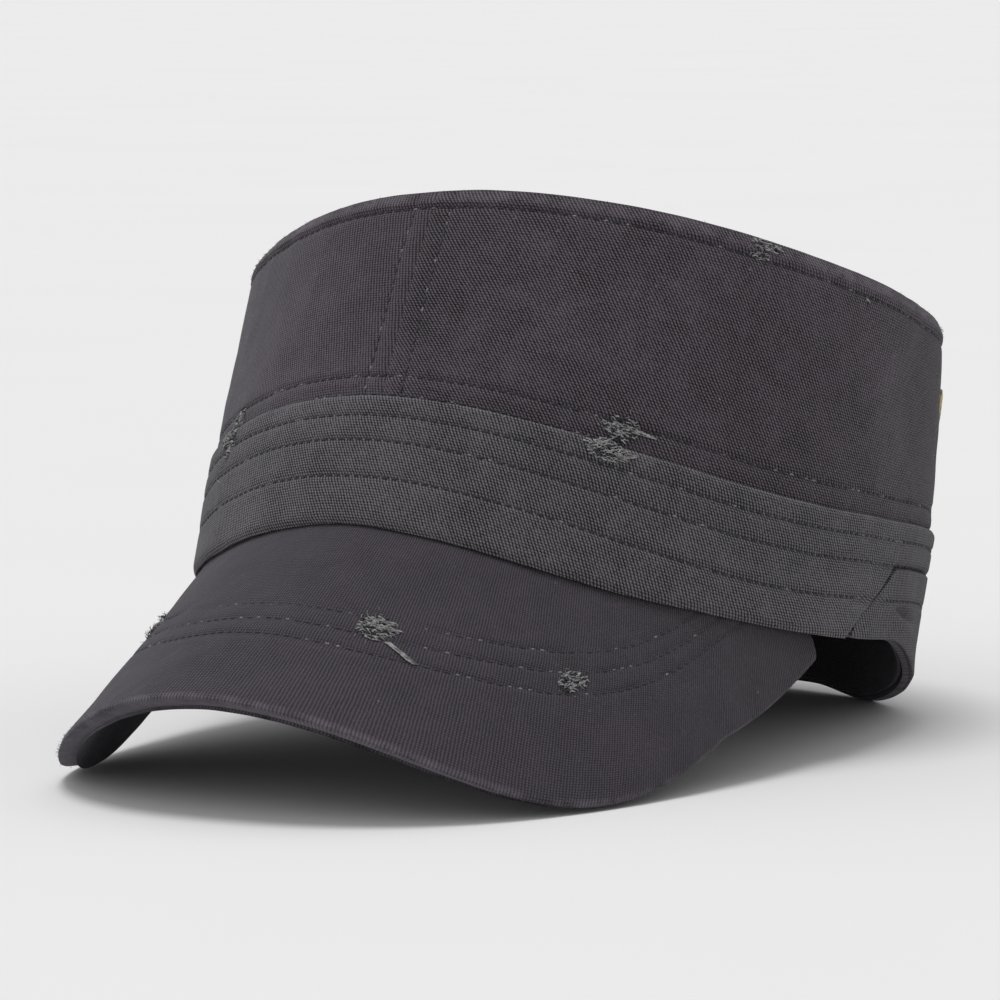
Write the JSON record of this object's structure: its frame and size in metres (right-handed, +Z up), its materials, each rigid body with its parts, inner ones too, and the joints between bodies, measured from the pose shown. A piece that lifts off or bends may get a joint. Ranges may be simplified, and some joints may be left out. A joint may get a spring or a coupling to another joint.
{
  "type": "flat-topped cadet cap",
  "caption": "Washed cotton cadet cap with a flat oval top, upright sides, a stitched band with a front flap, a deep arched peak and brass eyelets.",
  "frame": {"origin": "on the surface that the cap stands on, under the middle of its outer size", "axes": "+Z up from the surface; the front and the peak face -Y; +X is the wearer's left; the cap stands on the two corners of its peak and on the back of its hem, so its crown leans back by about 18 degrees"},
  "size_m": [0.1698, 0.266, 0.1342],
  "materials": {
    "crown_twill": "washed charcoal cotton twill with a purple cast, matt, worn at the rim",
    "band_twill": "washed grey-green charcoal cotton twill, matt",
    "peak_twill": "washed charcoal cotton twill over a stiff board, matt, frayed at the edge",
    "sweatband_tape": "near-black woven cotton tape, matt",
    "eyelet_brass": "aged brass, dull with brighter rubbed edges"
  },
  "bodies": {
    "root": {"peak": "peak_twill", "crown_side_left": "crown_twill", "crown_side_right": "crown_twill", "crown_top": "crown_twill", "band": "band_twill", "under_band": "band_twill", "sweatband": "sweatband_tape", "eyelet_left": "eyelet_brass", "eyelet_right": "eyelet_brass"}
  },
  "joints": []
}
